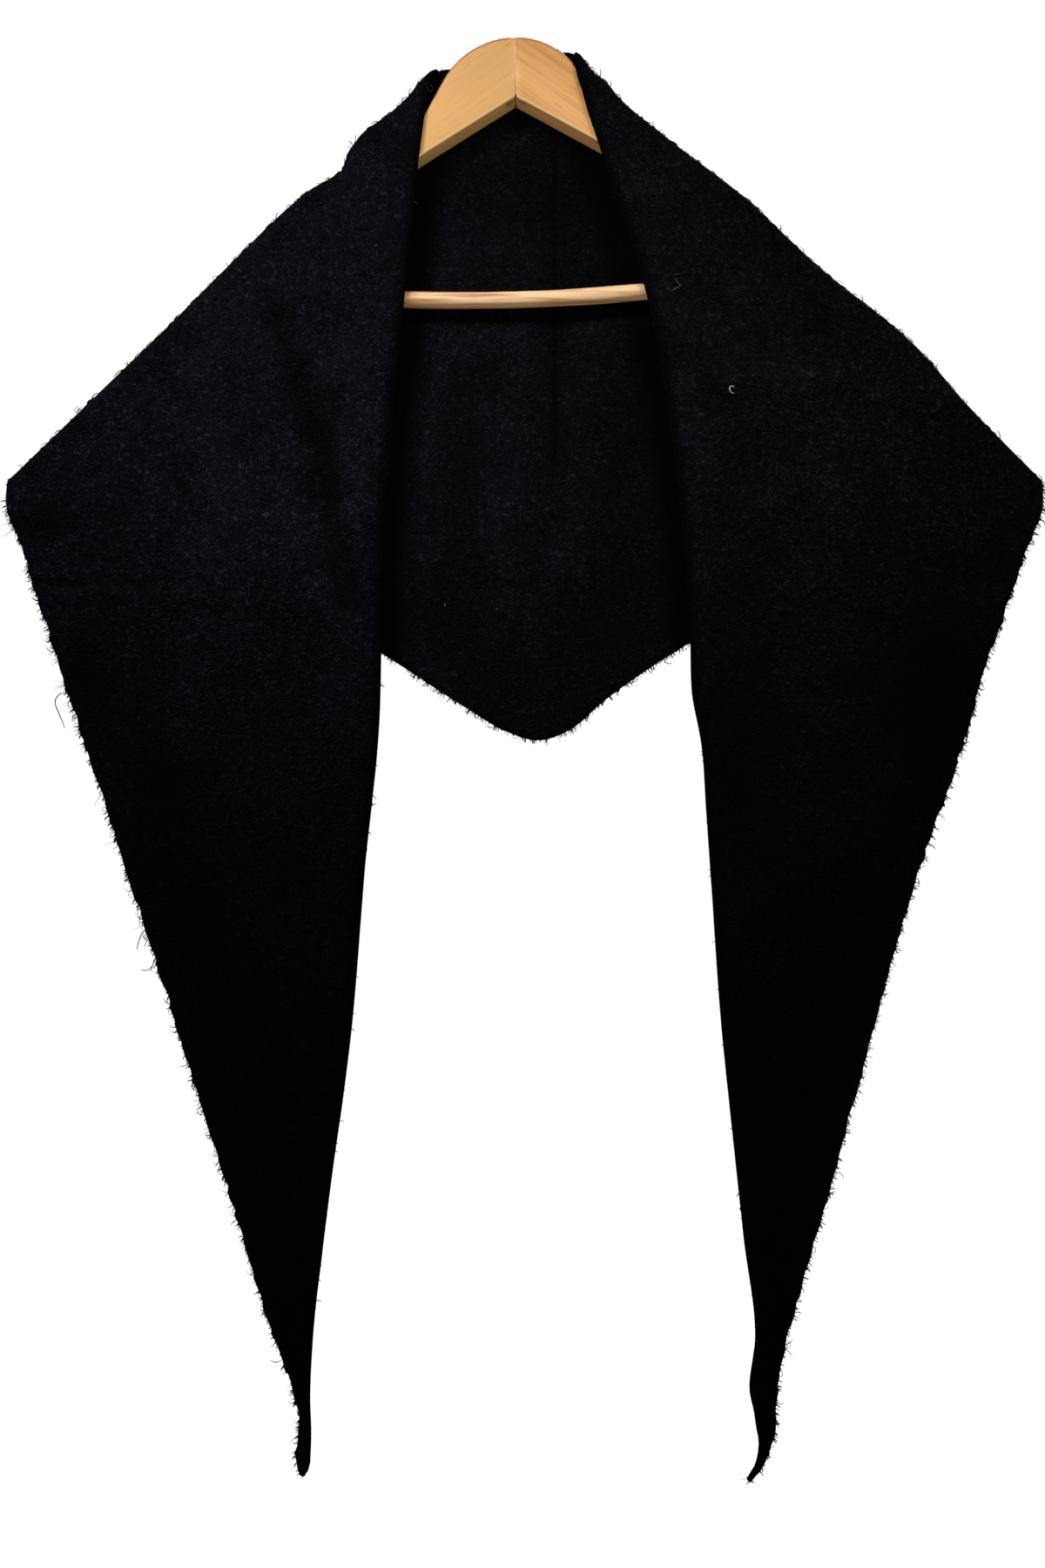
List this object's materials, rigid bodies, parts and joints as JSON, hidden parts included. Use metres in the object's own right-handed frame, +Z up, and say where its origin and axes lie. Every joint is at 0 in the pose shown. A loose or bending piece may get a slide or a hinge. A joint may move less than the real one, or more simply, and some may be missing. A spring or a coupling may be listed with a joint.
{
  "type": "triangle scarf on a wooden clothes hanger",
  "caption": "Black brushed triangle scarf draped over a wooden trouser hanger, its long pointed tails in front and its wide corner at the back.",
  "frame": {"origin": "the hook seat: the middle of the flat landing on top of the hanger, where its hook goes in", "axes": "+Z up, +X to the right of someone who looks at the open front, +Y from the front to the back"},
  "size_m": [0.7441, 0.0321, 1.0347],
  "materials": {
    "black_cloth": "brushed, curly nap",
    "honey_wood": "satin varnish",
    "pale_wood": "satin varnish"
  },
  "bodies": {
    "root": {"scarf_back": "black_cloth", "scarf_front_left": "black_cloth", "scarf_front_right": "black_cloth", "hanger_arm_left": "honey_wood", "hanger_arm_right": "honey_wood", "hanger_bar": "pale_wood"}
  },
  "joints": []
}
